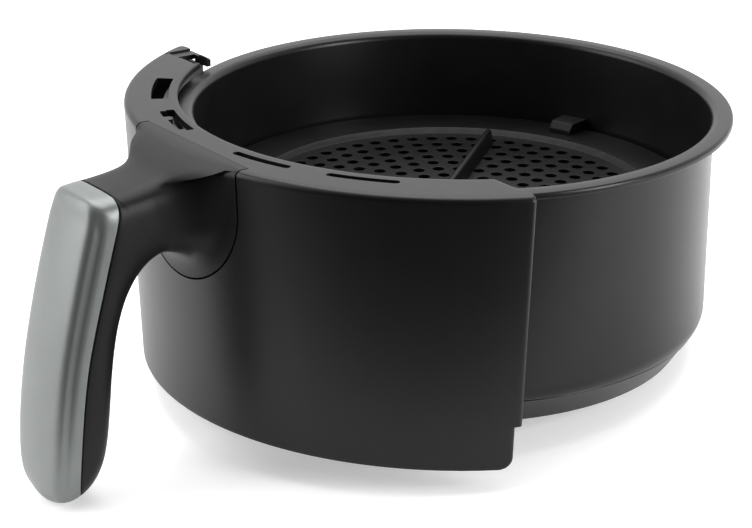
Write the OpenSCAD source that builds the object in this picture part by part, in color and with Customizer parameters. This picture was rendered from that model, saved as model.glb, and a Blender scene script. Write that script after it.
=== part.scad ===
// Drawer of a round air fryer: a deep-drawn pan with a wrap-round front
// cover, a carrying handle and a lift-out crisper plate.
// Millimetres, +Z up. The pan's axis is Z, the pan stands on z = 0 and the
// handle points towards -Y.

/* [Pan] */
// Outer diameter of the rim
pan_rim_d = 240; // [236:1:242]
// Outer diameter of the straight wall
pan_wall_d = 224; // [222:0.5:226]
// Height from the foot to the top of the rim
pan_h = 104.5; // [100:0.5:106]
// Thickness of the pan's sheet
pan_sheet = 1.2; // [1:0.1:1.4]
// Diameter of the foot where it stands
pan_foot_d = 204; // [200:1:208]
// Diameter of the step above the foot
pan_step_d = 219; // [218:0.5:220]
// Height of the step above the foot
pan_step_h = 12; // [10:0.5:13]
// Radius of the bend between the wall and the step
pan_bend_r = 10; // [9:0.5:11]
// Radius of the bead pressed into the bottom
bead_ring_r = 60; // [50:1:70]
// Depth of the turned-down lip of the rim
pan_lip = 3; // [2:0.1:3.2]

/* [Front cover] */
// Outer radius of the cover at its bottom edge
cover_r_bottom = 135.3; // [134:0.1:137]
// Outer radius of the cover at its top edge
cover_r_top = 140.5; // [139:0.1:142]
// Bottom edge of the cover, below the pan's foot
cover_drop = 5.4; // [3:0.1:6]
// Top face of the cover, above the pan's foot
cover_top = 110.5; // [110:0.1:112]
// Inner radius of the flange that roofs the pan's rim
flange_r = 117.5; // [116:0.1:119]
// Wall thickness of the cover
cover_wall = 3; // [2.6:0.1:3.2]
// Distance in front of the axis at which the cover's ends are cut off
cover_end_y = 58; // [57:0.1:59]
// Height of the cut-back below each end
end_relief_h = 19; // [16:0.5:22]
// How far the lower part of each end is cut back
end_relief = 2.5; // [2:0.5:4]

/* [Handle] */
// Width of the grip
grip_w = 38; // [36:0.5:40]
// Width of the root where it is let into the cover
root_w = 73.6; // [70:0.2:74]
// Height of the root's lowest point
root_bottom = 56.8; // [55:0.2:58]
// Gap of the seam round the root
root_gap = 0.35; // [0.3:0.05:0.4]
// Gap of the seam between the handle's two halves
seam_gap = 0.3; // [0.2:0.05:0.4]

/* [Crisper plate] */
// Diameter of the plate
plate_d = 217; // [216:0.5:218]
// Height of the plate's outer band
plate_z = 65; // [62:0.5:68]
// Thickness of the plate
plate_t = 1.2; // [1:0.1:1.4]
// Depth of the perforated middle below the outer band
plate_dish = 2.2; // [2:0.1:3]
// Outer radius of the perforated middle
dish_r = 86.5; // [86:0.5:88]
// Diameter of the air holes
hole_d = 5.2; // [4.6:0.1:5.6]
// Distance between rings of holes
hole_pitch = 8.75; // [8.6:0.05:9]
// Number of rings of holes
hole_rings = 9; // [7:1:9]
// Height of the lifting rib above the perforated middle
rib_h = 7; // [5:0.5:9]
// Direction of the lifting rib, in degrees from the back
rib_angle = 38.4; // [30:0.1:50]
// Direction of the first bumper, in degrees from the back
bumper_angle = 20; // [15:1:27]

/* [Hidden] */
$fn = 96;

wall_r = pan_wall_d / 2;
inner_r = wall_r - pan_sheet;
rim_r = pan_rim_d / 2;
step_r = pan_step_d / 2;
foot_r = pan_foot_d / 2;
bend_x = wall_r - pan_bend_r;
bend_z = pan_step_h + sqrt(pow(pan_bend_r, 2) - pow(step_r - bend_x, 2));
inner_step_r = bend_x + sqrt(pow(pan_bend_r - pan_sheet, 2) - pow(bend_z - pan_step_h - 0.4, 2));

cover_h = cover_top + cover_drop;
cover_slope = (cover_r_top - cover_r_bottom) / cover_h;
flange_t = 3;
liner_r = 122;
liner_t = 2;
liner_top = 106;
liner_bottom = -2;
cover_sweep = 68;
root_back_y = 129.5;
root_mid_z = root_bottom + root_w / 2;
plug_in_y = 133;

// Air slots in the flange: two bearings from the front, inner and outer radius
air_slots = [
  [-42.8, -29, 121.4, 128.8],
  [-21.5, -8, 121, 124.6],
  [-21, -17.4, 123, 127.4],
  [-15.4, -9, 123, 126.8],
  [8, 21.5, 122.2, 125.8],
  [29, 42.8, 122.2, 125.8]
];
// Pocket for a latch, the lip behind it and the groove beside it at the flange's left end
end_pocket_x0 = 97;
end_pocket_x1 = 112;
end_pocket_y0 = 60;
end_pocket_y1 = 69.5;
end_groove_x1 = 117.6;
end_lip_x0 = 101.4;
end_lip_z = 106.3;

boss_angles = [-44, 44];
boss_heights = [20, 84];
boss_r = 4;
screw_r = 1.5;

bracket_sweep = 24;
bracket_z0 = 34;
bracket_z1 = 88;
bracket_t = 1.5;
rivet_r = 2.4;
rivet_angles = [-16, 16];
rivet_heights = [48, 74];
bracket_screw_angle = 9;
bracket_screw_z = 82;

root_screws_at = [[-16, 98], [16, 98], [0, 72]];
root_plate_w = 50;
root_plate_z0 = 64;
root_plate_z1 = 105;

plate_r = plate_d / 2;
disc_z = plate_z - plate_dish;
bumper_r = inner_r - 0.4;
bumper_deg = 6.6;
rib_half = 74;
rib_w = 5;
rib_rivet_at = [-55, 0, 55];

// Radius of the cover's outer face at height z
function cover_r(z) = cover_r_bottom + (z + cover_drop) * cover_slope;

// Places children at a bearing measured from the front, at radius r and height z
module at_bearing(a, r, z) {
  rotate([0, 0, a])
    translate([0, -r, z])
      rotate([90, 0, 0])
        children();
}

// Sweeps a radius-height outline through +/- half degrees about the front
module front_sweep(half) {
  rotate([0, 0, -90 - half])
    rotate_extrude(angle = 2 * half)
      children();
}

// Screw along +Z: a pan head below z = 0 and a shank above it
module screw(length, head_r = 3, head_h = 2) {
  translate([0, 0, -head_h])
    difference() {
      cylinder(r = head_r, h = head_h);
      translate([0, 0, -0.1])
        cylinder(r = 1.1, h = 1.1, $fn = 6);
    }
  translate([0, 0, -0.01])
    cylinder(r = screw_r, h = length + 0.01);
}

// ---- Pan ----

// Points on an arc of radius r round [x, z], from angle a0 to a1
function arc(x, z, r, a0, a1, n = 6) =
  [for (i = [0:n]) [x + r * cos(a0 + (a1 - a0) * i / n), z + r * sin(a0 + (a1 - a0) * i / n)]];

// Half section of the pan, a sheet of even thickness all the way round
module pan_section() {
  bead_r = 3;
  rim_bend = 2;
  under_z = pan_h - pan_sheet;
  bend_a = -acos((step_r - bend_x) / pan_bend_r);
  inner_a = -acos((inner_step_r - bend_x) / (pan_bend_r - pan_sheet));
  bead_a = asin(pan_sheet / (bead_r + pan_sheet));
  polygon(concat(
    [[0, 0]],
    arc(bead_ring_r, 0, bead_r, 180, 0, 8),
    [[foot_r, 0]],
    arc(bend_x, bend_z, pan_bend_r, bend_a, 0),
    arc(wall_r + rim_bend - pan_sheet, under_z - rim_bend + pan_sheet, rim_bend - pan_sheet, 180, 90, 3),
    [[rim_r - pan_sheet, under_z], [rim_r - pan_sheet, pan_h - pan_lip], [rim_r, pan_h - pan_lip]],
    arc(rim_r - 1, pan_h - 1, 1, 0, 90, 3),
    arc(inner_r + rim_bend, pan_h - rim_bend, rim_bend, 90, 180, 4),
    arc(bend_x, bend_z, pan_bend_r - pan_sheet, 0, inner_a),
    [[foot_r - 0.9, pan_sheet]],
    arc(bead_ring_r, 0, bead_r + pan_sheet, bead_a, 180 - bead_a, 8),
    [[0, pan_sheet]]
  ));
}

module pan() {
  color([0.10, 0.10, 0.10])
    difference() {
      rotate_extrude($fn = 180)
        pan_section();
      for (a = rivet_angles, z = rivet_heights)
        at_bearing(a, inner_r - 3, z)
          cylinder(r = rivet_r, h = 6);
    }
}

// ---- Bracket between the pan and the cover ----

module pan_bracket() {
  lip_r = liner_r - bracket_t;
  color([0.55, 0.56, 0.57])
    difference() {
      front_sweep(bracket_sweep)
        union() {
          translate([wall_r, bracket_z0])
            square([bracket_t, bracket_z1 - bracket_z0]);
          translate([wall_r, bracket_z1 - bracket_t])
            square([liner_r - wall_r, bracket_t]);
          translate([lip_r, bracket_z1 - 14])
            square([bracket_t, 14]);
          translate([wall_r, bracket_z0])
            square([liner_r - wall_r, bracket_t]);
          translate([lip_r, bracket_z0])
            square([bracket_t, 10]);
        }
      for (a = rivet_angles, z = rivet_heights)
        at_bearing(a, wall_r - 2, z)
          cylinder(r = rivet_r, h = 6);
      for (s = [-1, 1])
        at_bearing(s * bracket_screw_angle, lip_r - 2, bracket_screw_z)
          cylinder(r = screw_r, h = 6);
    }
}

module bracket_rivets() {
  color([0.62, 0.63, 0.64])
    for (a = rivet_angles, z = rivet_heights)
      at_bearing(a, inner_r, z) {
        translate([0, 0, -1.2])
          cylinder(r = 4.2, h = 1.1);
        translate([0, 0, -0.4])
          cylinder(r = rivet_r, h = pan_sheet + bracket_t + 0.4);
        translate([0, 0, pan_sheet + bracket_t])
          cylinder(r = 3.6, h = 1.4);
      }
}

module bracket_screws() {
  color([0.35, 0.35, 0.36])
    for (s = [-1, 1])
      at_bearing(s * bracket_screw_angle, liner_r - bracket_t - 0.05, bracket_screw_z)
        screw(3.4, 2.8, 1.8);
}

// ---- Front cover ----

module cover_section() {
  round_r = 2.5;
  round_z = cover_top - round_r;
  difference() {
    polygon([
      [cover_r_bottom - cover_wall, -cover_drop],
      [cover_r_bottom, -cover_drop],
      [cover_r_top, cover_top],
      [flange_r, cover_top],
      [flange_r, cover_top - flange_t],
      [cover_r(cover_top - flange_t) - cover_wall, cover_top - flange_t]
    ]);
    translate([cover_r(round_z) - round_r, round_z])
      difference() {
        square([round_r + 1, round_r + 1]);
        circle(r = round_r);
      }
  }
}

// U-shaped prism that the root fills, wider by grow all round
module root_prism(grow) {
  rotate([90, 0, 0])
    linear_extrude(170)
      union() {
        translate([0, root_mid_z])
          circle(r = root_w / 2 + grow);
        translate([-root_w / 2 - grow, root_mid_z])
          square([root_w + 2 * grow, 40]);
      }
}

// Air slot in the flange between two bearings and two radii
module flange_slot(a0, a1, r0, r1) {
  rotate([0, 0, -90 + a0])
    rotate_extrude(angle = a1 - a0)
      translate([r0, cover_top - flange_t - 1])
        square([r1 - r0, flange_t + 2]);
}

// Bosses on the inside of the cover that take the liner's screws
module cover_bosses() {
  for (a = boss_angles, z = boss_heights)
    at_bearing(a, liner_r + liner_t, z)
      cylinder(r = boss_r, h = cover_r(z) - 1.5 - liner_r - liner_t);
}

module front_cover() {
  color([0.13, 0.13, 0.13])
    difference() {
      union() {
        front_sweep(cover_sweep)
          cover_section();
        cover_bosses();
        translate([-end_pocket_x1 + 1, -end_pocket_y0 - 2, end_lip_z])
          cube([end_pocket_x1 - end_lip_x0 - 1, 10, cover_top - 1 - end_lip_z]);
      }
      translate([-160, -cover_end_y, -20])
        cube([320, 80, 160]);
      for (s = [-1, 1])
        translate([s * 120 - 30, -cover_end_y - end_relief, -20])
          cube([60, 40, 20 + end_relief_h - cover_drop]);
      intersection() {
        root_prism(root_gap);
        translate([-60, -160, 0])
          cube([120, 160 - root_back_y + root_gap, 160]);
      }
      for (slot = air_slots)
        flange_slot(slot[0], slot[1], slot[2], slot[3]);
      translate([-end_pocket_x1, -end_pocket_y1, end_lip_z - 1])
        cube([end_pocket_x1 - end_pocket_x0, end_pocket_y1 - end_pocket_y0, cover_top - end_lip_z + 2]);
      translate([-end_groove_x1, -end_pocket_y1, cover_top - 1])
        cube([end_groove_x1 - end_pocket_x1, end_pocket_y1, 2]);
      for (a = boss_angles, z = boss_heights)
        at_bearing(a, liner_r, z)
          cylinder(r = screw_r, h = 10);
    }
}

// Inner panel that closes the back of the cover, with a web across each end
module cover_liner() {
  end_y = cover_end_y + 0.4;
  web_t = 2;
  color([0.16, 0.16, 0.16])
    difference() {
      front_sweep(cover_sweep)
        polygon([
          [liner_r, liner_bottom],
          [cover_r(liner_bottom) - cover_wall - 0.4, liner_bottom],
          [cover_r(liner_top) - cover_wall - 0.4, liner_top],
          [liner_r, liner_top]
        ]);
      translate([-160, -end_y, -20])
        cube([320, 100, 160]);
      translate([-160, -end_y - 5, -20])
        cube([320, 20, end_relief_h + 20]);
      intersection() {
        front_sweep(cover_sweep + 2)
          translate([liner_r + liner_t, -10])
            square([30, 140]);
        translate([-160, -200, -15])
          cube([320, 200 - end_y - web_t, 150]);
      }
      for (a = boss_angles, z = boss_heights)
        at_bearing(a, liner_r - 1, z)
          cylinder(r = screw_r, h = 4);
      for (s = [-1, 1])
        at_bearing(s * bracket_screw_angle, liner_r - 2, bracket_screw_z)
          cylinder(r = screw_r, h = 6);
    }
}

module liner_screws() {
  color([0.35, 0.35, 0.36])
    for (a = boss_angles, z = boss_heights)
      at_bearing(a, liner_r - 0.05, z)
        screw(9, 3.2, 1.8);
}

// ---- Handle ----

// Stations from the tip of the grip to the root, each with an inner point
// and an outer point in the middle plane (distance in front of the axis,
// height), a half width, and the squareness of the section
gw = grip_w / 2;
rw = root_w / 2;
STATIONS = [
  [[196.2, -25.2], [201.2, -26.2], 5, 2],
  [[191.2, -22.6], [205.2, -24.4], 11, 2.2],
  [[186.2, -17.4], [207.6, -19.8], gw - 4, 2.5],
  [[182.8, -9.8], [208.6, -12.0], gw - 1.4, 2.8],
  [[181.0, -0.5], [208.2, -1.0], gw - 0.4, 3.1],
  [[179.6, 12.0], [207.0, 13.0], gw, 3.2],
  [[177.8, 29.5], [204.4, 31.5], gw, 3.2],
  [[175.3, 44.5], [200.6, 50.5], gw, 3.2],
  [[171.6, 55.8], [196.6, 67.0], gw, 3.2],
  [[167.6, 62.5], [192.6, 82.0], gw - 0.2, 3.3],
  [[163.8, 66.9], [189.4, 92.8], gw - 0.3, 3.5],
  [[160.4, 69.8], [186.8, 100.2], gw - 0.4, 3.8],
  [[157.3, 71.7], [181.4, 101.6], gw - 0.6, 4],
  [[154.4, 72.6], [171.4, 102.2], gw - 0.8, 4],
  [[151.4, 72.2], [160.2, 103.6], gw - 0.6, 4],
  [[148.4, 70.6], [151.7, 105.6], gw + 1.5, 4],
  [[145.2, 67.6], [144.6, 107.6], gw + 5, 3.6],
  [[141.8, 63.4], [139.8, 109.6], gw + 10, 3],
  [[138.4, 60.0], [136.8, 110.5], gw + 13.5, 2],
  [[plug_in_y, 60.0], [plug_in_y, 110.5], gw + 13.5, 2]
];
LOFT_SIDES = 40;

// Point k of a station's superellipse
function ring_point(s, k) =
  let (
    a = 360 * (k + 0.5) / LOFT_SIDES,
    mid = (s[0] + s[1]) / 2,
    half = (s[1] - s[0]) / 2,
    u = sign(cos(a)) * pow(abs(cos(a)), 2 / s[3]),
    v = sign(sin(a)) * pow(abs(sin(a)), 2 / s[3]),
    p = mid + v * half
  )
  [u * s[2], -p[0], p[1]];

module handle_solid() {
  n = LOFT_SIDES;
  last = len(STATIONS) - 1;
  points = [for (s = STATIONS, k = [0:n - 1]) ring_point(s, k)];
  sides = [
    for (j = [0:last - 1], k = [0:n - 1])
      [j * n + k, j * n + (k + 1) % n, (j + 1) * n + (k + 1) % n, (j + 1) * n + k]
  ];
  first_cap = [[for (k = [n - 1:-1:0]) k]];
  last_cap = [[for (k = [0:n - 1]) last * n + k]];
  polyhedron(points = points, faces = concat(first_cap, sides, last_cap));
}

// Seam between the two halves, from the top of the grip to its tip
SEAM = [
  [176.2, 109.5], [176.0, 100.5], [176.4, 94.5], [179.5, 83.5], [184.2, 67.5], [188.7, 51.5],
  [192.8, 34.5], [195.7, 15.5], [197.4, -4.5], [197.2, -15], [195.2, -23], [193.0, -35]
];

// Everything in front of the seam, moved forward by shift
module front_of_seam(shift) {
  outline = concat([for (p = SEAM) [-p[0] - shift, p[1]]], [[-230, -35], [-230, 109.5]]);
  translate([-30, 0, 0])
    rotate([90, 0, 90])
      linear_extrude(60)
        polygon(outline);
}

// Root that is let into the cover's wall, flush with the cover's faces
module root_plug() {
  intersection() {
    root_prism(0);
    translate([-60, -160, 0])
      cube([120, 160 - root_back_y, cover_top]);
    translate([0, 0, -cover_drop])
      cylinder(r1 = cover_r_bottom, r2 = cover_r_top, h = cover_h);
  }
}

// Screws that pull the two halves together: height, inner face of the grip
shell_screws_at = [[12, 179.6], [52, 172.8]];
shell_screw_l = 18;

module handle_body() {
  color([0.12, 0.12, 0.12])
    difference() {
      union() {
        difference() {
          handle_solid();
          front_of_seam(-seam_gap);
        }
        root_plug();
      }
      for (p = shell_screws_at)
        translate([0, -p[1] + 4, p[0]])
          rotate([90, 0, 0]) {
            cylinder(r = 3.4, h = 8);
            cylinder(r = screw_r, h = shell_screw_l + 8.5);
          }
      for (p = root_screws_at)
        translate([p[0], -root_back_y, p[1]])
          rotate([90, 0, 0])
            cylinder(r = screw_r, h = 12);
    }
}

module handle_shell() {
  color([0.45, 0.48, 0.47])
    difference() {
      intersection() {
        handle_solid();
        front_of_seam(0);
      }
      for (p = shell_screws_at)
        translate([0, -p[1] + 4, p[0]])
          rotate([90, 0, 0])
            cylinder(r = screw_r, h = shell_screw_l + 8.5);
    }
}

module handle_screws() {
  color([0.35, 0.35, 0.36])
    for (p = shell_screws_at)
      translate([0, -p[1] - 4, p[0]])
        rotate([90, 0, 0])
          screw(shell_screw_l, 3, 2);
}

// Steel plate that spreads the load of the root's screws
module root_plate() {
  color([0.55, 0.56, 0.57])
    difference() {
      translate([-root_plate_w / 2, -root_back_y, root_plate_z0])
        cube([root_plate_w, 2, root_plate_z1 - root_plate_z0]);
      for (p = root_screws_at)
        translate([p[0], -root_back_y + 3, p[1]])
          rotate([90, 0, 0])
            cylinder(r = screw_r, h = 6);
    }
}

module root_washers() {
  color([0.6, 0.6, 0.6])
    for (p = root_screws_at)
      translate([p[0], -root_back_y + 2.8, p[1]])
        rotate([90, 0, 0])
          difference() {
            cylinder(r = 4, h = 0.8);
            translate([0, 0, -0.5])
              cylinder(r = screw_r, h = 2);
          }
}

module root_screws() {
  color([0.35, 0.35, 0.36])
    for (p = root_screws_at)
      translate([p[0], -root_back_y + 2.8, p[1]])
        rotate([90, 0, 0])
          screw(12, 2.8, 1.6);
}

// ---- Crisper plate ----

module crisper_plate() {
  color([0.11, 0.11, 0.11])
    difference() {
      union() {
        rotate_extrude($fn = 180)
          polygon([
            [dish_r - 1.6, disc_z - plate_t],
            [dish_r - 1.6, disc_z],
            [dish_r, disc_z],
            [dish_r + 2, plate_z],
            [plate_r, plate_z],
            [plate_r, plate_z - 6],
            [plate_r - plate_t, plate_z - 6],
            [plate_r - plate_t, plate_z - plate_t],
            [dish_r + 2.6, plate_z - plate_t],
            [dish_r + 0.6, disc_z - plate_t]
          ]);
        translate([0, 0, disc_z - plate_t])
          linear_extrude(plate_t)
            difference() {
              circle(r = dish_r - 1, $fn = 180);
              for (k = [1:hole_rings], j = [0:6 * k - 1])
                rotate(60 * j / k + rib_angle + 30 / k)
                  translate([k * hole_pitch, 0])
                    circle(d = hole_d, $fn = 24);
            }
      }
      rotate([0, 0, rib_angle])
        for (y = rib_rivet_at)
          translate([0, y, disc_z - 3])
            cylinder(r = 1.6, h = 6);
    }
}

// Rib across the plate by which it is lifted out
module lifting_rib() {
  color([0.11, 0.11, 0.11])
    rotate([0, 0, rib_angle])
      difference() {
        translate([0, rib_half, disc_z])
          rotate([90, 0, 0])
            linear_extrude(2 * rib_half)
              union() {
                polygon([
                  [-rib_w / 2, 0],
                  [rib_w / 2, 0],
                  [rib_w / 2 - 1, rib_h - 1.5],
                  [-rib_w / 2 + 1, rib_h - 1.5]
                ]);
                translate([0, rib_h - 1.5])
                  circle(r = 1.5);
              }
        for (y = rib_rivet_at)
          translate([0, y, disc_z - 1])
            cylinder(r = 1.6, h = 4.5);
      }
}

module rib_rivets() {
  color([0.5, 0.5, 0.51])
    rotate([0, 0, rib_angle])
      for (y = rib_rivet_at)
        translate([0, y, disc_z]) {
          translate([0, 0, -plate_t - 1])
            cylinder(r = 3, h = 1);
          translate([0, 0, -plate_t - 0.2])
            cylinder(r = 1.6, h = plate_t + 3.6);
        }
}

// Silicone clip on the plate's edge that keeps it off the pan's wall
module bumper(a) {
  color([0.17, 0.17, 0.17])
    rotate([0, 0, a + 90 - bumper_deg / 2])
      rotate_extrude(angle = bumper_deg)
        difference() {
          polygon([
            [96, plate_z - 8],
            [bumper_r, plate_z - 8],
            [bumper_r, plate_z + 4.5],
            [98.5, plate_z + 5],
            [96, plate_z + 2]
          ]);
          polygon([
            [90, plate_z],
            [plate_r, plate_z],
            [plate_r, plate_z - 6],
            [plate_r - plate_t, plate_z - 6],
            [plate_r - plate_t, plate_z - plate_t],
            [90, plate_z - plate_t]
          ]);
        }
}

module bumper_1() {
  bumper(bumper_angle);
}

module bumper_2() {
  bumper(bumper_angle + 120);
}

module bumper_3() {
  bumper(bumper_angle + 240);
}

pan();
pan_bracket();
bracket_rivets();
front_cover();
cover_liner();
liner_screws();
bracket_screws();
handle_body();
handle_shell();
handle_screws();
root_plate();
root_screws();
root_washers();
crisper_plate();
lifting_rib();
rib_rivets();
bumper_1();
bumper_2();
bumper_3();
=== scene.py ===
import math

import bmesh
import bpy
import numpy as np
from mathutils import Matrix, Vector


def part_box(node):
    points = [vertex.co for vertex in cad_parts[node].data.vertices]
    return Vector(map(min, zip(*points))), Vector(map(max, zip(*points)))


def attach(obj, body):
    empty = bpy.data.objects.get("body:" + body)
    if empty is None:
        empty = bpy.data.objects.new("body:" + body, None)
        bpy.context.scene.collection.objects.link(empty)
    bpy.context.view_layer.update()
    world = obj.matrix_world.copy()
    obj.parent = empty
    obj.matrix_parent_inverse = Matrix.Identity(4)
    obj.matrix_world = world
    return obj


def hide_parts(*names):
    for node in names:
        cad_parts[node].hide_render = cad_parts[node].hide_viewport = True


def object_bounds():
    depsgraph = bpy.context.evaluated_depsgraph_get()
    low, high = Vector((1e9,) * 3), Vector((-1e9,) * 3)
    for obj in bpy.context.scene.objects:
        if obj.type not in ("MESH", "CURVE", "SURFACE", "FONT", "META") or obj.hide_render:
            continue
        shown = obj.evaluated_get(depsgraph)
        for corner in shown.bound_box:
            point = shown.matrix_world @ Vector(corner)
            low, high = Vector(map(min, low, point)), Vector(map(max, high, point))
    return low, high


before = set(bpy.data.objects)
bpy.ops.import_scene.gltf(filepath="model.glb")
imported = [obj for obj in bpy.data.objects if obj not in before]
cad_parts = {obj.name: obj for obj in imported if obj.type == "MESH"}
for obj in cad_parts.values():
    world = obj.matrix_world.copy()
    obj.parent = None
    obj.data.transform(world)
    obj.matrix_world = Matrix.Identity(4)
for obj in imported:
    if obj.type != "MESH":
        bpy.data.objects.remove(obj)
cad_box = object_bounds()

MM = 0.001


def box_mm(node):
    """Lowest and highest corner of a CAD node, in millimetres."""
    lo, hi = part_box(node)
    return lo / MM, hi / MM


# ---- Sizes in millimetres, from the frame's boxes ----

pan_hi = box_mm("pan")[1]
cover_lo, cover_hi = box_mm("front_cover")
shell_hi = box_mm("handle_shell")[1]

pan_h = pan_hi.z
rim_r = pan_hi.x
wall_r = rim_r - 8
pan_sheet = 1.2
step_r = wall_r - 2.5
step_h = 12
foot_r = wall_r - 10
bend_r = 10

cover_bottom = cover_lo.z
cover_top = cover_hi.z
cover_r_bottom = rim_r + 15.3
cover_r_top = rim_r + 20.5
cover_wall = 3
flange_r = rim_r - 2.5
flange_t = 3
end_y = -cover_hi.y
relief_z = cover_bottom + 19
relief = 2.5
end_corner_r = 5
top_round = 2.5
lip_z = cover_top - 4.2

root_half = 36.8
root_z = 93.6
root_gap = 0.8
root_back = 129.5

grip_half = shell_hi.x
seam_gap = 0.45

# Latch pocket, groove and ledge at the left end of the flange: x and y ranges, and how deep each is cut
pocket_x, pocket_y = (-112, -97), (-69.5, -60)
pocket_floor = cover_top - 7.5
groove_x, groove_y, groove_depth = (-118.4, -117.4), (-72, -50), 1.6
ledge_x, ledge_y, ledge_depth = (-118, -108), (-70, -50), 0.8
lip_x = (-111.5, -101.4)
lip_front = -61

# ---- Mesh helpers ----


def arc(cx, cz, r, a0, a1, n):
    """Points on an arc of radius r round (cx, cz), angles in degrees."""
    angles = np.radians(np.linspace(a0, a1, n + 1))
    return [(cx + r * math.cos(a), cz + r * math.sin(a)) for a in angles]


def smoothstep(x, lo, hi):
    t = min(1, max(0, (x - lo) / (hi - lo)))
    return t * t * (3 - 2 * t)


def strips(rows, columns, wrap_rows=False, wrap_columns=True):
    """Quads of a grid of points stored row by row."""
    faces = []
    for i in range(rows if wrap_rows else rows - 1):
        for j in range(columns if wrap_columns else columns - 1):
            a, b = i * columns + j, i * columns + (j + 1) % columns
            ni = (i + 1) % rows
            faces.append((a, b, ni * columns + (j + 1) % columns, ni * columns + j))
    return faces


def link(name, mesh):
    ob = bpy.data.objects.new(name, mesh)
    bpy.context.scene.collection.objects.link(ob)
    return ob


def solid(name, points, faces, merge=0.002):
    """Mesh object from points in millimetres, closed up and with its faces outward."""
    mesh = bpy.data.meshes.new(name)
    mesh.from_pydata([tuple(c * MM for c in p) for p in points], [], faces)
    bm = bmesh.new()
    bm.from_mesh(mesh)
    bmesh.ops.remove_doubles(bm, verts=bm.verts, dist=merge * MM)
    bmesh.ops.dissolve_degenerate(bm, edges=bm.edges, dist=merge * MM / 2)
    bmesh.ops.recalc_face_normals(bm, faces=bm.faces)
    bm.to_mesh(mesh)
    bm.free()
    return link(name, mesh)


def lathe(name, outline, steps=256):
    """Full turn of a closed radius-height outline about Z."""
    points = []
    for i in range(steps):
        a = 2 * math.pi * i / steps
        points += [(r * math.cos(a), r * math.sin(a), z) for r, z in outline]
    return solid(name, points, strips(steps, len(outline), wrap_rows=True))


def prism(name, outline, y0, y1):
    """Outline of (x, z) points drawn out along Y."""
    n = len(outline)
    points = [(x, y, z) for y in (y0, y1) for x, z in outline]
    return solid(name, points, strips(2, n) + [tuple(range(n)), tuple(range(n, 2 * n))])


def block(name, lo, hi):
    (x0, y0, z0), (x1, y1, z1) = lo, hi
    return prism(name, [(x0, z0), (x1, z0), (x1, z1), (x0, z1)], y0, y1)


def apply_modifiers(ob):
    graph = bpy.context.evaluated_depsgraph_get()
    mesh = bpy.data.meshes.new_from_object(ob.evaluated_get(graph))
    ob.modifiers.clear()
    ob.data = mesh


def cut(ob, cutters):
    """Takes the cutters away from the object for good."""
    for cutter in cutters:
        m = ob.modifiers.new("cut", "BOOLEAN")
        m.operation = "DIFFERENCE"
        m.solver = "EXACT"
        m.object = cutter
    apply_modifiers(ob)
    for cutter in cutters:
        bpy.data.objects.remove(cutter)


def join(ob, other):
    """Adds another piece to the object for good."""
    m = ob.modifiers.new("join", "BOOLEAN")
    m.operation = "UNION"
    m.solver = "EXACT"
    m.object = other
    apply_modifiers(ob)
    bpy.data.objects.remove(other)


def smooth(ob, angle=35):
    """Smooth shading that keeps edges sharper than the angle, in degrees."""
    mesh = ob.data
    for p in mesh.polygons:
        p.use_smooth = True
    mesh.set_sharp_from_angle(angle=math.radians(angle))


def soften(ob, width, segments=2, angle=40):
    """Rounds every edge sharper than the angle by width, in millimetres."""
    m = ob.modifiers.new("soften", "BEVEL")
    m.width = width * MM
    m.segments = segments
    m.limit_method = "ANGLE"
    m.angle_limit = math.radians(angle)
    m.harden_normals = True
    m.use_clamp_overlap = True


def clamp_to_cad(ob):
    """Keeps the piece inside the CAD model's box."""
    lo, hi = cad_box
    for v in ob.data.vertices:
        v.co = [min(max(c, a), b) for c, a, b in zip(v.co, lo, hi)]


def finish_piece(ob, material, body, nodes=()):
    ob.data.materials.clear()
    ob.data.materials.append(material)
    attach(ob, body)
    if nodes:
        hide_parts(*nodes)
    return ob


# ---- Materials ----


def node_tree(name):
    mat = bpy.data.materials.new(name)
    mat.use_nodes = True
    tree = mat.node_tree
    tree.nodes.clear()
    out = tree.nodes.new("ShaderNodeOutputMaterial")
    shader = tree.nodes.new("ShaderNodeBsdfPrincipled")
    tree.links.new(shader.outputs[0], out.inputs[0])
    return mat, tree, shader


def noise(tree, scale, detail=2.0, rough=0.5):
    coords = tree.nodes.new("ShaderNodeTexCoord")
    tex = tree.nodes.new("ShaderNodeTexNoise")
    tex.inputs["Scale"].default_value = scale
    tex.inputs["Detail"].default_value = detail
    tex.inputs["Roughness"].default_value = rough
    tree.links.new(coords.outputs["Object"], tex.inputs["Vector"])
    return tex.outputs["Fac"]


def mapped(tree, value, lo, hi, to_lo, to_hi):
    m = tree.nodes.new("ShaderNodeMapRange")
    for i, v in enumerate((lo, hi, to_lo, to_hi)):
        m.inputs[i + 1].default_value = v
    tree.links.new(value, m.inputs[0])
    return m.outputs[0]


def tinted(tree, factor, first, second):
    mix = tree.nodes.new("ShaderNodeMix")
    mix.data_type = "RGBA"
    mix.inputs[6].default_value = (*first, 1)
    mix.inputs[7].default_value = (*second, 1)
    tree.links.new(factor, mix.inputs[0])
    return mix.outputs[2]


def bumped(tree, height, strength, distance, under=None):
    b = tree.nodes.new("ShaderNodeBump")
    b.inputs["Strength"].default_value = strength
    b.inputs["Distance"].default_value = distance
    tree.links.new(height, b.inputs["Height"])
    if under is not None:
        tree.links.new(under, b.inputs["Normal"])
    return b.outputs[0]


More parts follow.
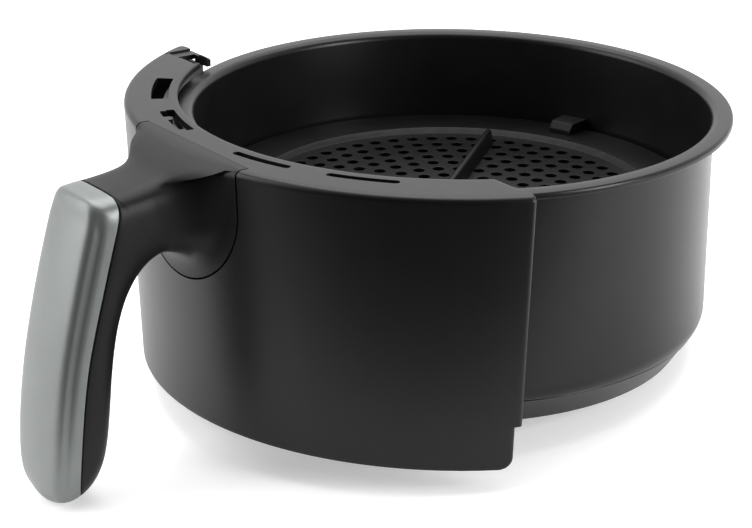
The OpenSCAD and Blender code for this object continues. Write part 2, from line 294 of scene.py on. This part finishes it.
def surface(name, dark, light, roughness, grain, grain_depth, metallic=0.0, level=0.5):
    """A moulded or coated surface: mottled colour and gloss, fine grain and a faint unevenness."""
    mat, tree, shader = node_tree(name)
    mottle = noise(tree, 60, 4, 0.6)
    speck = noise(tree, grain, 2, 0.5)
    wave = noise(tree, 18, 1, 0.4)
    colour = tinted(tree, mapped(tree, mottle, 0.3, 0.7, 0, 1), dark, light)
    tree.links.new(colour, shader.inputs["Base Color"])
    gloss = mapped(tree, speck, 0.25, 0.75, roughness - 0.04, roughness + 0.04)
    tree.links.new(gloss, shader.inputs["Roughness"])
    under = bumped(tree, wave, 0.15, 0.0004)
    tree.links.new(bumped(tree, speck, 0.5, grain_depth, under), shader.inputs["Normal"])
    shader.inputs["Metallic"].default_value = metallic
    shader.inputs["Specular IOR Level"].default_value = level
    shader.inputs["Coat Roughness"].default_value = 0.3
    return mat


def grey(v, tint=(1, 1, 1)):
    return tuple(v * t for t in tint)


cover_plastic = surface("cover_plastic", grey(0.003), grey(0.0045), 0.38, 2600, 0.00003, level=0.26)
liner_plastic = surface("liner_plastic", grey(0.014), grey(0.019), 0.5, 2200, 0.00004)
handle_black = surface("handle_black", grey(0.006), grey(0.008), 0.42, 2600, 0.00003, level=0.15)
green_grey = (0.95, 1.02, 0.99)
handle_grey = surface(
    "handle_grey", grey(0.145, green_grey), grey(0.16, green_grey), 0.38, 3200, 0.000015, 0.38
)
pan_coating = surface("pan_coating", grey(0.004), grey(0.006), 0.32, 1800, 0.00003, level=0.22)
plate_coating = surface("plate_coating", grey(0.003), grey(0.005), 0.38, 1600, 0.00003, level=0.13)
silicone = surface("bumper_silicone", grey(0.006), grey(0.009), 0.6, 3000, 0.00002, level=0.15)
bare_steel = surface("bracket_steel", grey(0.42), grey(0.5), 0.34, 900, 0.00001, 1.0)
screw_steel = surface("screw_steel", grey(0.3), grey(0.36), 0.4, 900, 0.00001, 1.0)

# ---- Pan ----


def pan_outline():
    """Closed half section of the pan: outside from the bottom up, over the rim and down the inside."""
    bend_x = wall_r - bend_r
    bend_z = step_h + math.sqrt(bend_r**2 - (step_r - bend_x) ** 2)
    bend_a = -math.degrees(math.acos((step_r - bend_x) / bend_r))
    inner_r = wall_r - pan_sheet
    under = pan_h - pan_sheet
    lip = pan_h - 3
    bead_x, bead_r, rim_bend = 60, 3, 3
    foot_lean = math.degrees(math.atan2(step_h, step_r - foot_r))
    outside = [(0, 0)] + arc(bead_x, 0, bead_r, 180, 0, 10)
    outside += arc(foot_r - 1.2, 1.2, 1.2, -90, foot_lean - 90, 5)
    outside += [(step_r - 1.1, step_h - 1.3)]
    outside += arc(step_r - 0.5, step_h - 0.1, 0.5, -60, 60, 4)
    outside += arc(bend_x, bend_z, bend_r, bend_a + 4, 0, 12)
    outside += arc(wall_r + rim_bend, under - rim_bend, rim_bend, 180, 90, 6)
    outside += [(rim_r - pan_sheet - 0.5, under), (rim_r - pan_sheet, under - 0.5)]
    outside += arc(rim_r - pan_sheet / 2, lip + pan_sheet / 2, pan_sheet / 2, 180, 360, 6)
    inside = arc(rim_r - 1.4, pan_h - 1.4, 1.4, 0, 90, 6)
    inside += arc(inner_r + rim_bend, pan_h - rim_bend, rim_bend, 90, 180, 8)
    inside += arc(bend_x, bend_z, bend_r - pan_sheet, 0, bend_a + 4, 12)
    inside += [(foot_r - 2.2, pan_sheet)]
    inside += arc(bead_x, 0, bead_r + pan_sheet, 17, 163, 10) + [(0, pan_sheet)]
    return outside + inside


def make_pan():
    ob = lathe("pan", pan_outline(), 288)
    clamp_to_cad(ob)
    smooth(ob, 50)
    return finish_piece(ob, pan_coating, "drawer", ["pan"])


# ---- Front cover ----


def cover_r(z):
    """Radius of the cover's outer face at height z."""
    return cover_r_bottom + (z - cover_bottom) * (cover_r_top - cover_r_bottom) / (cover_top - cover_bottom)


lean = math.degrees(math.atan2(cover_r_top - cover_r_bottom, cover_top - cover_bottom))
round_z = cover_top - top_round
round_x = cover_r(round_z) - top_round / math.cos(math.radians(lean))


def cover_pairs():
    """Section of the cover as pairs of an outer and an inner point, from the bottom up and inward."""
    low_r = cover_r_bottom
    pairs = [((low_r - 0.9, cover_bottom), (low_r - 2.2, cover_bottom))]
    pairs += [((low_r - 0.25, cover_bottom + 0.25), (low_r - cover_wall, cover_bottom + 0.3))]
    levels = list(np.linspace(cover_bottom + 0.9, relief_z - 0.3, 18))
    levels += list(np.linspace(relief_z, round_z - 0.5, 60))
    pairs += [((cover_r(z), z), (cover_r(z) - cover_wall, z)) for z in levels]
    under = cover_top - flange_t
    corner_x = cover_r(under) - cover_wall
    for x, z in arc(round_x, round_z, top_round, -lean, 90, 8):
        share = (z - round_z) / top_round
        pairs += [((x, z), (corner_x - share, round_z + (under - round_z) * max(0, share)))]
    for x in np.linspace(corner_x - 1.6, flange_r + 0.7, 14):
        pairs += [((x, cover_top), (x, under))]
    pairs += [((flange_r + 0.2, cover_top - 0.2), (flange_r + 0.2, under + 0.2))]
    pairs += [((flange_r, cover_top - 0.7), (flange_r, under + 0.7))]
    return pairs


def end_at(z):
    """Distance in front of the axis at which the cover ends at height z."""
    corner_z = cover_bottom + end_corner_r
    if z >= relief_z:
        return end_y
    back = 0
    if z < corner_z:
        back = end_corner_r - math.sqrt(end_corner_r**2 - (corner_z - z) ** 2)
    return end_y + relief + back


def cover_row(pairs, tau, fillet_a=0.0):
    """One station of the sweep: tau from -1 to 1 along it, fillet_a how far round the end's rounded edge."""
    edge_r = 2.4
    inset = edge_r * (1 - math.cos(fillet_a))
    from_end = edge_r * (1 - math.sin(fillet_a))
    points = []
    loop = [(p, 1.0) for p, _ in pairs] + [(q, 0.0) for _, q in reversed(pairs)]
    for (r, z), outer in loop:
        weight = outer * smoothstep(r, flange_r, flange_r + 14)
        own_r = r - inset * weight
        low = 0.5 * inset * outer * smoothstep(cover_r_top - 6 - r, 0, 10)
        a = math.acos((end_at(z) + from_end) / own_r)
        points.append((own_r * math.sin(tau * a), -own_r * math.cos(tau * a), z - low))
    return points


def slot_cutter(name, a0, a1, r0, r1, corner):
    """Curved slot through the flange between two bearings and two radii, with rounded corners."""
    middle = math.radians((a0 + a1) / 2)
    mid_r = (r0 + r1) / 2
    half_l = math.radians(a1 - a0) / 2 * mid_r
    half_w = (r1 - r0) / 2
    outline = []
    for cx, cy, start in ((1, 1, 0), (-1, 1, 90), (-1, -1, 180), (1, -1, 270)):
        outline += arc(cx * (half_l - corner), cy * (half_w - corner), corner, start, start + 90, 6)
        side = np.linspace(1, -1, 12)[1:-1] * (half_l - corner)
        if start in (0, 180):
            outline += [(cy * x, cy * half_w) for x in side]
    points = []
    for z in (cover_top + 1, cover_top - flange_t - 1):
        for along, across in outline:
            a, r = middle + along / mid_r, mid_r + across
            points.append((r * math.sin(a), -r * math.cos(a), z))
    n = len(outline)
    return solid(name, points, strips(2, n) + [tuple(range(n)), tuple(range(n, 2 * n))])


# Air slots in the flange: two bearings from the front, inner and outer radius, radius of the corners
air_slots = [
    (-42.8, -29, 121.4, 128.8, 0.8), (-21.5, -8, 121, 124.6, 0.8), (-21, -17.4, 122.6, 127.4, 0.8),
    (-15.4, -9, 122.6, 126.8, 0.8), (8, 21.5, 122.2, 125.8, 1.7), (29, 42.8, 122.2, 125.8, 1.7),
]


def root_outline(grow, top):
    """U shape of the root, wider by grow all round and open to the top."""
    lower = arc(0, root_z, root_half + grow, 180, 360, 48)
    return [(-root_half - grow, top)] + lower + [(root_half + grow, top)]


def make_cover():
    pairs = cover_pairs()
    n = 2 * len(pairs)
    fillet = list(np.linspace(0, math.pi / 2, 7))
    rows = [cover_row(pairs, -1, a) for a in reversed(fillet)]
    rows += [cover_row(pairs, t) for t in np.linspace(-1, 1, 181)[1:-1]]
    rows += [cover_row(pairs, 1, a) for a in fillet]
    faces = strips(len(rows), n)
    last = (len(rows) - 1) * n
    for i in range(len(pairs) - 1):
        quad = (i, i + 1, n - 2 - i, n - 1 - i)
        faces += [quad, tuple(last + k for k in quad)]
    ob = solid("front_cover", [p for row in rows for p in row], faces)
    join(ob, block("lip", (lip_x[0], lip_front, lip_z), (lip_x[1], -end_y, cover_top - 1)))
    cutters = [prism("root_cut", root_outline(root_gap, cover_top + 5), -160, -root_back + 0.15)]
    for i, slot in enumerate(air_slots):
        cutters.append(slot_cutter(f"slot_{i}", *slot))
    above = cover_top + 1
    for name, xs, ys, low in (
        ("pocket", pocket_x, pocket_y, pocket_floor),
        ("groove", groove_x, groove_y, cover_top - groove_depth),
        ("ledge", ledge_x, ledge_y, cover_top - ledge_depth),
    ):
        cutters.append(block(name, (xs[0], ys[0], low), (xs[1], ys[1], above)))
    cut(ob, cutters)
    smooth(ob, 30)
    return finish_piece(ob, cover_plastic, "drawer", ["front_cover"])


# ---- Handle ----

# Inner and outer point in the middle plane (distance in front of the axis, height), half width, squareness
stations = np.array([
    (196.2, -25.2, 201.2, -26.2, 5, 2),
    (191.2, -22.6, 205.2, -24.4, 11, 2.2),
    (186.2, -17.4, 207.6, -19.8, grip_half - 4, 2.5),
    (182.8, -9.8, 208.6, -12.0, grip_half - 1.4, 2.8),
    (181.0, -0.5, 208.2, -1.0, grip_half - 0.4, 3.1),
    (179.6, 12.0, 207.0, 13.0, grip_half, 3.2),
    (177.8, 29.5, 204.4, 31.5, grip_half, 3.2),
    (175.3, 44.5, 200.6, 50.5, grip_half, 3.2),
    (171.6, 55.8, 196.6, 67.0, grip_half, 3.2),
    (167.6, 62.5, 192.6, 82.0, grip_half - 0.2, 3.3),
    (163.8, 66.9, 189.4, 92.8, grip_half - 0.3, 3.5),
    (160.4, 69.8, 186.8, 100.2, grip_half - 0.4, 3.8),
    (157.3, 71.7, 181.4, 101.6, grip_half - 0.6, 4),
    (154.4, 72.6, 171.4, 102.2, grip_half - 0.8, 4),
    (151.4, 72.2, 160.2, 103.6, grip_half - 0.6, 4),
    (148.4, 70.6, 151.7, 105.6, grip_half + 1.5, 4),
])
bridge_end = 14

# Seam between the grip's two halves, from the top down (distance in front of the axis, height)
seam = np.array([
    (176.2, 109.5), (176.0, 100.5), (176.4, 94.5), (179.5, 83.5), (184.2, 67.5), (188.7, 51.5),
    (192.8, 34.5), (195.7, 15.5), (197.4, -4.5), (197.2, -15), (195.2, -23), (193.0, -35),
])

# Half section of the shell's crowned pad: share of the half width, share of the depth in front of the seam
pad_section = np.array([
    (1.0, 0.0), (0.998, 0.15), (0.992, 0.32), (0.965, 0.44), (0.93, 0.52), (0.908, 0.64),
    (0.89, 0.76), (0.835, 0.85), (0.72, 0.92), (0.54, 0.957), (0.36, 0.98), (0.18, 0.995), (0.0, 1.0),
])


def spline(points, u):
    """Catmull-Rom curve through the points at u, which counts points."""
    last = len(points) - 1
    i = min(int(u), last - 1)
    t = u - i
    p0, p1, p2, p3 = (points[min(max(k, 0), last)] for k in (i - 1, i, i + 1, i + 2))
    return 0.5 * (
        2 * p1 + (p2 - p0) * t + (2 * p0 - 5 * p1 + 4 * p2 - p3) * t**2
        + (3 * p1 - p0 - 3 * p2 + p3) * t**3
    )


seam_line = [spline(seam, u) for u in np.linspace(0, len(seam) - 1, 300)]


def seam_share(inner, outer):
    """Where the seam crosses a section, as a share of the way from its inner to its outer point."""
    along = outer - inner
    normal = np.array([-along[1], along[0]])
    sides = [(q - inner) @ normal for q in seam_line]
    for q, s, q2, s2 in zip(seam_line, sides, seam_line[1:], sides[1:]):
        if s * s2 <= 0:
            hit = q + (q2 - q) * (s / (s - s2) if s != s2 else 0)
            share = (hit - inner) @ along / (along @ along)
            if share > -0.5:
                return share
    return 2.0


def section(u):
    s = spline(stations, u)
    return s[0:2], s[2:4], s[4], s[5]


def squircle(a, square):
    """Point of a unit superellipse at angle a, in radians."""
    c, s = math.cos(a), math.sin(a)
    return (
        math.copysign(abs(c) ** (2 / square), c),
        math.copysign(abs(s) ** (2 / square), s),
    )


def squircle_angle(v, square):
    return math.copysign(math.asin(min(1, abs(v)) ** (square / 2)), v)


def mirrored(half, inner, outer, width):
    """Ring from a half ring that runs from the inner to the outer side, in section shares."""
    mid, reach = (inner + outer) / 2, (outer - inner) / 2
    ring = []
    for x, v in half + [(-x, v) for x, v in reversed(half[1:-1])]:
        p = mid + v * reach
        ring.append((x * width, -p[0], p[1]))
    return ring


side_steps = 30
seam_steps = 8


def body_ring(u):
    """Ring of the black half: round the back and the sides, then flat across the seam."""
    inner, outer, width, square = section(u)
    depth = np.linalg.norm(outer - inner) / 2
    v_seam = min(1, 2 * (seam_share(inner, outer) - seam_gap / 2 / depth) - 1)
    v_seam = max(-1, v_seam)
    soft = 0.35 if abs(v_seam) < 0.97 else 0
    a_seam = squircle_angle(max(-1, v_seam - soft / depth), square)
    x_seam = squircle(squircle_angle(v_seam, square), square)[0]
    half = [squircle(a, square) for a in np.linspace(-math.pi / 2, a_seam, side_steps)]
    half += [(x_seam - 0.3 * soft / width, v_seam - 0.3 * soft / depth)]
    half += [(x, v_seam) for x in np.linspace(x_seam - soft / width, 0, seam_steps)]
    half = [(0 if k in (0, len(half) - 1) else max(0, x), v) for k, (x, v) in enumerate(half)]
    return mirrored(half, inner, outer, width)


def shell_ring(u):
    """Ring of the grey half: flat across the seam, then over the shoulders and the crowned pad."""
    inner, outer, width, square = section(u)
    depth = np.linalg.norm(outer - inner) / 2
    v_seam = min(1, max(-1, 2 * seam_share(inner, outer) - 1))
    a_seam = squircle_angle(v_seam, square)
    x_seam = squircle(a_seam, square)[0]
    padded = smoothstep(u, 0.9, 2.6) * (1 - smoothstep(u, 9.7, 11.2))
    soft = 0.35 if abs(v_seam) < 0.97 else 0
    half = [(x, v_seam) for x in np.linspace(0, x_seam - soft / width, seam_steps)]
    front = []
    for k in range(side_steps + 1):
        q = k / side_steps
        x, v = squircle(a_seam + (math.pi / 2 - a_seam) * q, square)
        px, pd = spline(pad_section, q * (len(pad_section) - 1))
        pv = v_seam + pd * (1 - v_seam)
        front.append((x + (px * x_seam - x) * padded, v + (pv - v) * padded))
    front[0] = (x_seam - 0.3 * soft / width, v_seam + 0.3 * soft / depth)
    half += front
    half = [(0 if k in (0, len(half) - 1) else max(0, x), v) for k, (x, v) in enumerate(half)]
    return mirrored(half, inner, outer, width)


def cover_face(x, z):
    """Point of the cover's outer face at x and z, below its rounded top edge."""
    return np.array([x, -math.sqrt(cover_r(z) ** 2 - x * x), z])


def root_edge(a):
    """Edge of the root in the cover's face, from its lowest point (a = -90) to the top's middle (a = 90)."""
    if a <= 0:
        x = root_half * math.cos(math.radians(a))
        return cover_face(x, root_z + root_half * math.sin(math.radians(a)))
    if a <= 30:
        return cover_face(root_half, root_z + (round_z - root_z) * a / 30)
    if a <= 48:
        turn = math.radians((a - 30) / 18 * 90)
        r = round_x + top_round * math.cos(turn)
        return np.array([root_half, -math.sqrt(r * r - root_half**2), round_z + top_round * math.sin(turn)])
    x = root_half * (90 - a) / 42
    return np.array([x, -math.sqrt(round_x**2 - x * x), cover_top])


def root_tangent(a):
    """Direction in which the flare runs out into the cover's face."""
    edge = root_edge(min(a, 48))
    low = min(0, edge[2] - root_z)
    near = cover_face(edge[0] * 0.97, min(edge[2], round_z) - low * 0.03)
    outward = cover_face(edge[0], min(edge[2], round_z)) - near
    outward /= np.linalg.norm(outward)
    outward[2] += 0.25 * smoothstep(a, 25, 48)
    rise = np.array([0.0, 0.97, 0.25])
    share = smoothstep(a, 40, 58)
    mix = outward * (1 - share) + rise * share
    return mix / np.linalg.norm(mix)


def root_rings():
    """Rings of the flare between the bridge and the cover, and of the plug behind it."""
    start = [np.array(p) for p in body_ring(bridge_end)]
    before = [np.array(p) for p in body_ring(bridge_end - 0.4)]
    half_count = len(start) // 2 + 1
    edges, tangents = [], []
    for k in range(half_count):
        a = min(90, -90 + 180 * k / (side_steps - 1))
        edges.append(root_edge(a))
        tangents.append(root_tangent(a))
    flip = np.array([-1, 1, 1])
    edges += [e * flip for e in reversed(edges[1:-1])]
    tangents += [t * flip for t in reversed(tangents[1:-1])]
    rings = []
    for t in np.linspace(0, 1, 17)[1:]:
        ring = []
        for p0, pb, p3, out in zip(start, before, edges, tangents):
            reach = np.linalg.norm(p3 - p0)
            lead = (p0 - pb) / max(1e-6, np.linalg.norm(p0 - pb))
            p1, p2 = p0 + lead * reach * 0.42, p3 - out * reach * 0.5
            ring.append(
                p0 * (1 - t) ** 3 + 3 * p1 * t * (1 - t) ** 2 + 3 * p2 * t * t * (1 - t) + p3 * t**3
            )
        rings.append(ring)
    for y in (-132.5, -root_back):
        rings.append([np.array([p[0], max(p[1], y), p[2]]) for p in rings[-1]])
    return [[tuple(p) for p in ring] for ring in rings]


def ring_solid(name, rings):
    n = len(rings[0])
    points = [p for ring in rings for p in ring]
    last = (len(rings) - 1) * n
    faces = strips(len(rings), n)
    faces += [tuple(range(n)), tuple(range(last, last + n))]
    return solid(name, points, faces, 0.01)


def make_handle_body():
    steps = sorted(set(np.linspace(0, bridge_end, 113)) | set(np.linspace(12, 12.6, 14)))
    rings = [body_ring(u) for u in steps] + root_rings()
    ob = ring_solid("handle_body", rings)
    clamp_to_cad(ob)
    smooth(ob, 48)
    return finish_piece(ob, handle_black, "drawer", ["handle_body"])


def make_handle_shell():
    steps = sorted(set(np.linspace(0, 12, 97)) | set(np.linspace(12, 12.5, 16)))
    ob = ring_solid("handle_shell", [shell_ring(u) for u in steps])
    clamp_to_cad(ob)
    smooth(ob, 48)
    return finish_piece(ob, handle_grey, "drawer", ["handle_shell"])


# ---- Pieces carried over from the CAD shapes, with their edges softened ----


def from_cad(node, material, body, edge, angle=30):
    """A copy of a CAD node's shape with rounded edges, which stands for the node."""
    ob = link("soft_" + node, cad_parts[node].data.copy())
    bm = bmesh.new()
    bm.from_mesh(ob.data)
    bmesh.ops.remove_doubles(bm, verts=bm.verts, dist=2e-6)
    bmesh.ops.dissolve_limit(bm, angle_limit=math.radians(0.5), verts=bm.verts, edges=bm.edges)
    bm.to_mesh(ob.data)
    bm.free()
    smooth(ob, angle)
    if edge:
        soften(ob, edge)
    return finish_piece(ob, material, body, [node])


def make_hardware():
    for node in ("liner_screws", "bracket_screws", "handle_screws", "root_screws"):
        from_cad(node, screw_steel, "drawer", 0)
    from_cad("bracket_rivets", bare_steel, "drawer", 0.3)
    for node in ("pan_bracket", "root_plate", "root_washers"):
        from_cad(node, bare_steel, "drawer", 0)
    from_cad("cover_liner", liner_plastic, "drawer", 0)


def make_plate():
    from_cad("crisper_plate", plate_coating, "plate", 0.25)
    from_cad("lifting_rib", plate_coating, "plate", 0.3)
    from_cad("rib_rivets", screw_steel, "plate", 0.15)
    for i in (1, 2, 3):
        from_cad(f"bumper_{i}", silicone, "plate", 0.5)


# ---- Stage ----

view_azimuth = math.radians(53.6)
view_elevation = math.radians(21.1)
view_roll = math.radians(0.35)
view_lens = 114.9
view_middle = Vector((0, 0, 0.05457))
view_distance = 1.0501
view_shift = (0.03229, 0.02295)


def view_axes():
    """The camera's right, up and back directions."""
    ca, sa = math.cos(view_azimuth), math.sin(view_azimuth)
    ce, se = math.cos(view_elevation), math.sin(view_elevation)
    back = Vector((sa * ce, -ca * ce, se))
    right = Vector((ca, sa, 0))
    return right, back.cross(right), back


def make_camera():
    right, up, back = view_axes()
    data = bpy.data.cameras.new("camera")
    data.sensor_width = 36
    data.lens = view_lens
    data.clip_start = 0.05
    data.clip_end = 50
    cam = bpy.data.objects.new("camera", data)
    bpy.context.scene.collection.objects.link(cam)
    place = view_middle + back * view_distance - right * view_shift[0] - up * view_shift[1]
    turn = Matrix((right, up, back)).transposed() @ Matrix.Rotation(view_roll, 3, "Z")
    cam.matrix_world = Matrix.Translation(place) @ turn.to_4x4()
    bpy.context.scene.camera = cam


def towards_camera(tree):
    """Input of a node that measures how far a point lies towards the camera."""
    dot = tree.nodes.new("ShaderNodeVectorMath")
    dot.name = "towards"
    dot.operation = "DOT_PRODUCT"
    back = view_axes()[2]
    dot.inputs[1].default_value = (back.x, back.y, 0)
    return dot.inputs[0]


def make_floor():
    """Pale floor under the grip's tip and the back of the pan's foot.

    The drawer stands on it. Its colour turns dark towards the camera's side, painted shade that darkens the
    reflections in the cover's front, and where it is pale it glows, a painted glow that keeps it white and
    lights the drawer from below.
    """
    lowest = min(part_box(node)[0].z for node in ("handle_body", "handle_shell"))
    tip = Vector((0, -0.2, lowest))
    heel = Vector((0, foot_r * MM, 0))
    slope = math.atan2(heel.z - tip.z, heel.y - tip.y)
    mesh = bpy.data.meshes.new("floor")
    size = 8
    corners = [(-size, -size, 0), (size, -size, 0), (size, size, 0), (-size, size, 0)]
    mesh.from_pydata(corners, [], [(0, 1, 2, 3)])
    floor = link("floor", mesh)
    floor.rotation_euler = (slope, 0, 0)
    floor.location = tip - Vector((0, 0, 0.0004))
    mat, tree, shader = node_tree("floor_painted_glow_and_shade")
    pale = tinted(tree, noise(tree, 3, 2), grey(0.80), grey(0.82))
    coords = tree.nodes.new("ShaderNodeTexCoord")
    tree.links.new(coords.outputs["Object"], towards_camera(tree))
    near = mapped(tree, tree.nodes["towards"].outputs["Value"], 0.06, 0.16, 0, 1)
    # painted shade: on the camera's side the floor's colour fades to near black, a dark sheet that darkens
    # the reflections in the cover's front
    painted_shade_fade = tree.nodes.new("ShaderNodeMix")
    painted_shade_fade.data_type = "RGBA"
    tree.links.new(near, painted_shade_fade.inputs[0])
    tree.links.new(pale, painted_shade_fade.inputs[6])
    painted_shade_fade.inputs[7].default_value = (0.02, 0.02, 0.02, 1)
    tree.links.new(painted_shade_fade.outputs[2], shader.inputs["Base Color"])
    # painted glow: the floor glows where it is pale, though it is no lamp, which keeps it white and lights
    # the drawer from below
    painted_glow = mapped(tree, near, 0, 1, 0.4, 0)
    tree.links.new(painted_glow, shader.inputs["Emission Strength"])
    shader.inputs["Roughness"].default_value = 0.9
    shader.inputs["Specular IOR Level"].default_value = 0.1
    shader.inputs["Emission Color"].default_value = (1, 1, 1, 1)
    mesh.materials.append(mat)


def softbox(name, place, target, width, height, power):
    data = bpy.data.lights.new(name, "AREA")
    data.shape = "RECTANGLE"
    data.size = width
    data.size_y = height
    data.energy = power
    ob = bpy.data.objects.new(name, data)
    bpy.context.scene.collection.objects.link(ob)
    ob.location = place
    ob.rotation_euler = (Vector(target) - Vector(place)).to_track_quat("-Z", "Y").to_euler()


def make_world():
    """White studio that gets darker towards the side the picture is taken from."""
    world = bpy.data.worlds.new("studio")
    bpy.context.scene.world = world
    world.use_nodes = True
    tree = world.node_tree
    tree.nodes.clear()
    out = tree.nodes.new("ShaderNodeOutputWorld")
    background = tree.nodes.new("ShaderNodeBackground")
    coords = tree.nodes.new("ShaderNodeTexCoord")
    tree.links.new(coords.outputs["Generated"], towards_camera(tree))
    strength = mapped(tree, tree.nodes["towards"].outputs["Value"], -0.3, 0.4, 1.7, 0.03)
    tree.links.new(strength, background.inputs["Strength"])
    tree.links.new(background.outputs[0], out.inputs[0])


def make_lights():
    right, _, back = view_axes()
    level = Vector((back.x, back.y, 0)).normalized()
    top = Vector((0, 0, 1))
    middle = Vector((0, -0.03, 0.05))
    softbox("overhead", middle + top * 1.3 - level * 0.3, middle, 1.4, 1.4, 26)
    softbox("left", middle - right * 1.3 + level * 0.1 + top * 0.5, middle, 0.8, 1.2, 14)
    strip = Matrix.Rotation(math.radians(58), 3, "Z") @ level
    softbox("strip", middle + strip * 0.9 + top * 0.2, middle, 0.26, 0.6, 9)


# ---- Everything ----

make_camera()
make_pan()
make_cover()
make_handle_body()
make_handle_shell()
make_hardware()
make_plate()
make_floor()
make_world()
make_lights()
bpy.context.scene.view_settings.view_transform = "Standard"
